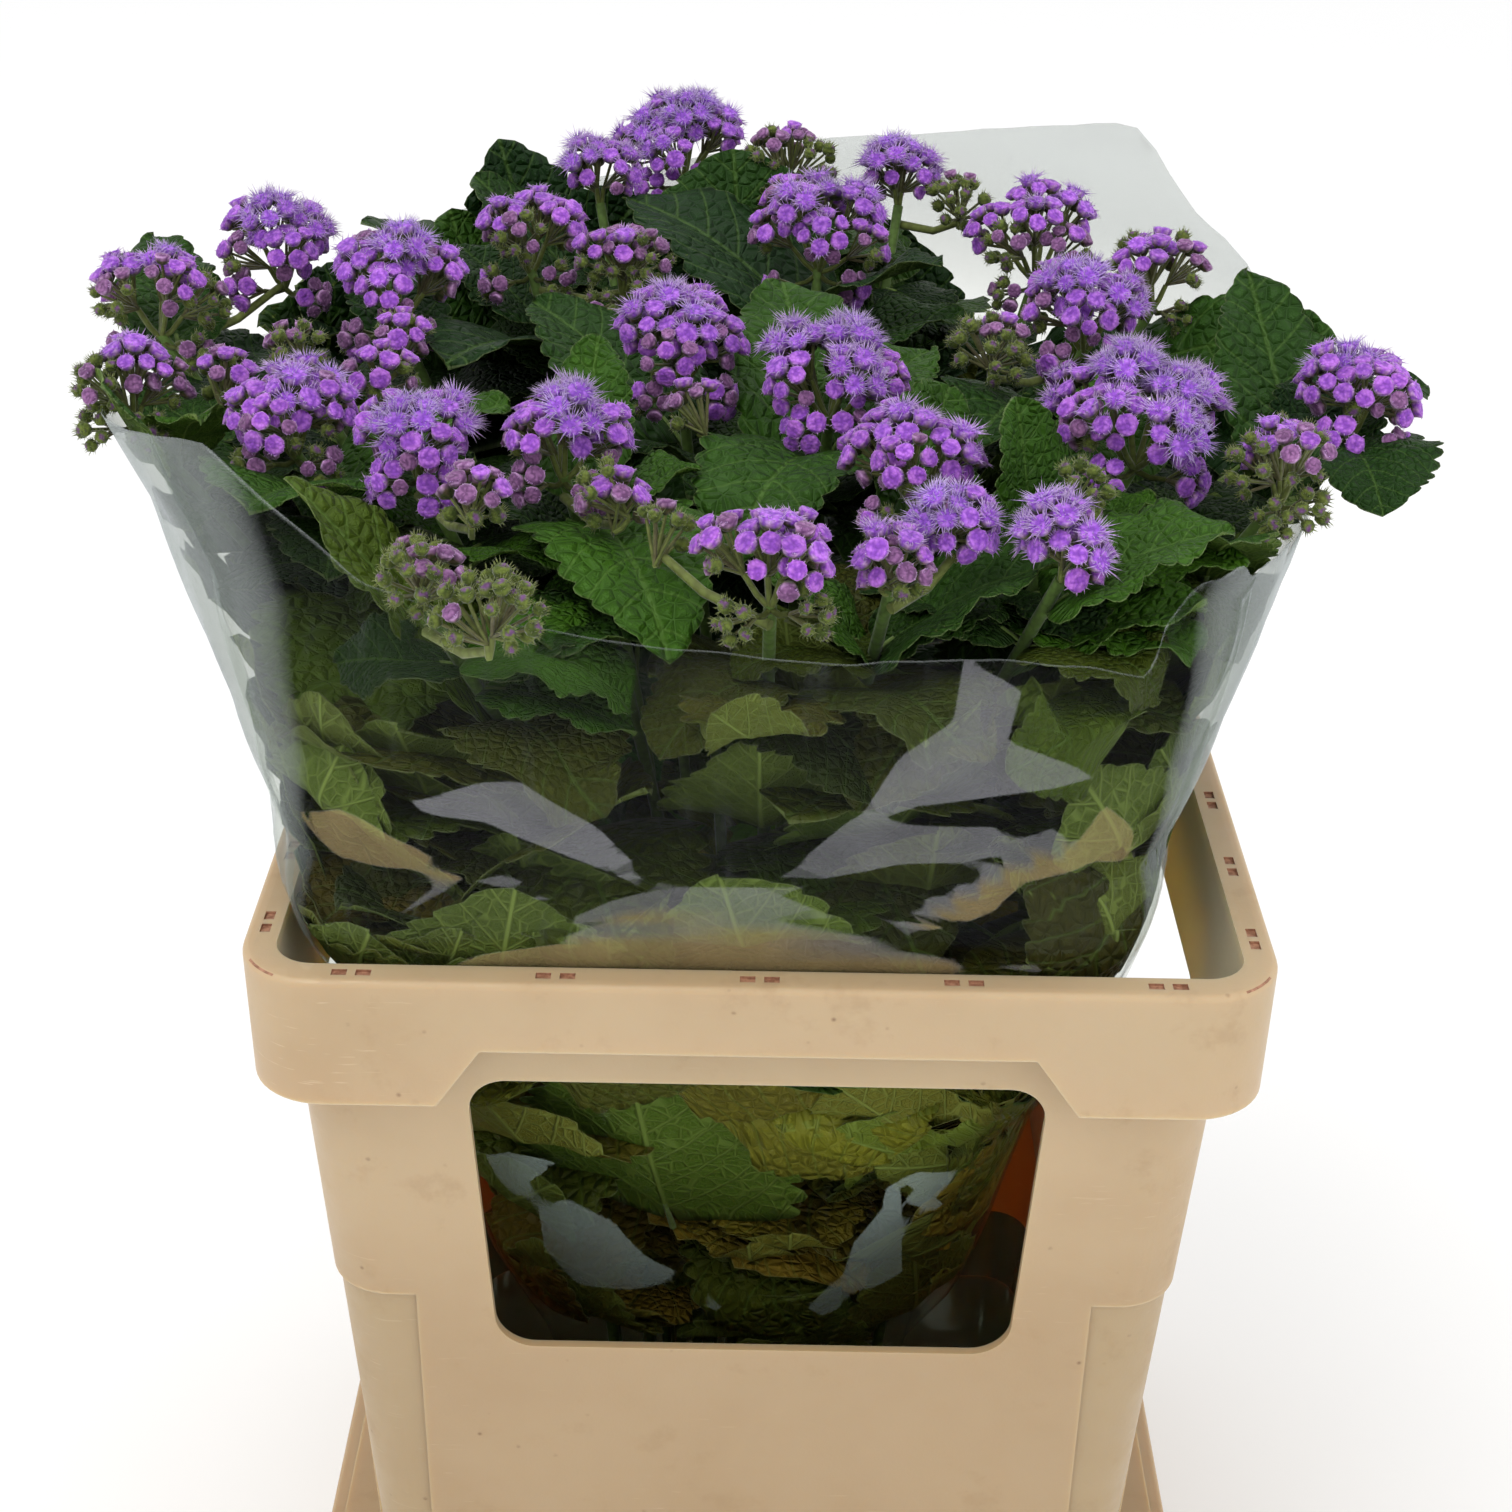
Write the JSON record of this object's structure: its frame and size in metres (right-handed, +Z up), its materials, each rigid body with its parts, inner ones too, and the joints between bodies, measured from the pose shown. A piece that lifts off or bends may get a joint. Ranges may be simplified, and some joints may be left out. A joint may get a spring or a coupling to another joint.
{
  "type": "cut ageratum in a flower bucket",
  "caption": "Cut ageratum in a clear film sleeve, standing in water in a cream flower bucket with a windowed collar.",
  "frame": {"origin": "centre of the bucket's underside", "axes": "+Z up along the stems, -Y is the short front side of the bucket, +X to the right seen from the front"},
  "size_m": [0.4339, 0.4318, 0.601],
  "materials": {
    "cream_plastic": "injection-moulded cream polypropylene, satin, slightly soiled",
    "film": "clear glossy polypropylene film with creases and welded side seams",
    "water": "clear still water",
    "foliage": "fresh green leaves with a puckered net of veins, on hairy green stems",
    "florets": "soft violet-blue florets, dimpled discs and threads, with green hairy buds"
  },
  "bodies": {
    "root": {"bucket": "cream_plastic", "collar": "cream_plastic", "water": "water", "sleeve": "film", "stem_01": "foliage", "stem_02": "foliage", "stem_03": "foliage", "stem_04": "foliage", "stem_05": "foliage", "stem_06": "foliage", "stem_07": "foliage", "stem_08": "foliage", "stem_09": "foliage", "stem_10": "foliage", "stem_11": "foliage", "stem_12": "foliage", "stem_13": "foliage", "stem_14": "foliage", "stem_15": "foliage", "stem_16": "foliage", "stem_17": "foliage", "stem_18": "foliage", "stem_19": "foliage", "stem_20": "foliage", "stem_21": "foliage", "stem_22": "foliage", "stem_23": "foliage", "stem_24": "foliage", "stem_25": "foliage", "stem_26": "foliage", "stem_27": "foliage", "bloom_01": "florets", "bloom_02": "florets", "bloom_03": "florets", "bloom_04": "florets", "bloom_05": "florets", "bloom_06": "florets", "bloom_07": "florets", "bloom_08": "florets", "bloom_09": "florets", "bloom_10": "florets", "bloom_11": "florets", "bloom_12": "florets", "bloom_13": "florets", "bloom_14": "florets", "bloom_15": "florets", "bloom_16": "florets", "bloom_17": "florets", "bloom_18": "florets", "bloom_19": "florets", "bloom_20": "florets", "bloom_21": "florets", "bloom_22": "florets", "bloom_23": "florets", "bloom_24": "florets", "bloom_25": "florets", "bloom_26": "florets", "bloom_27": "florets"}
  },
  "joints": []
}
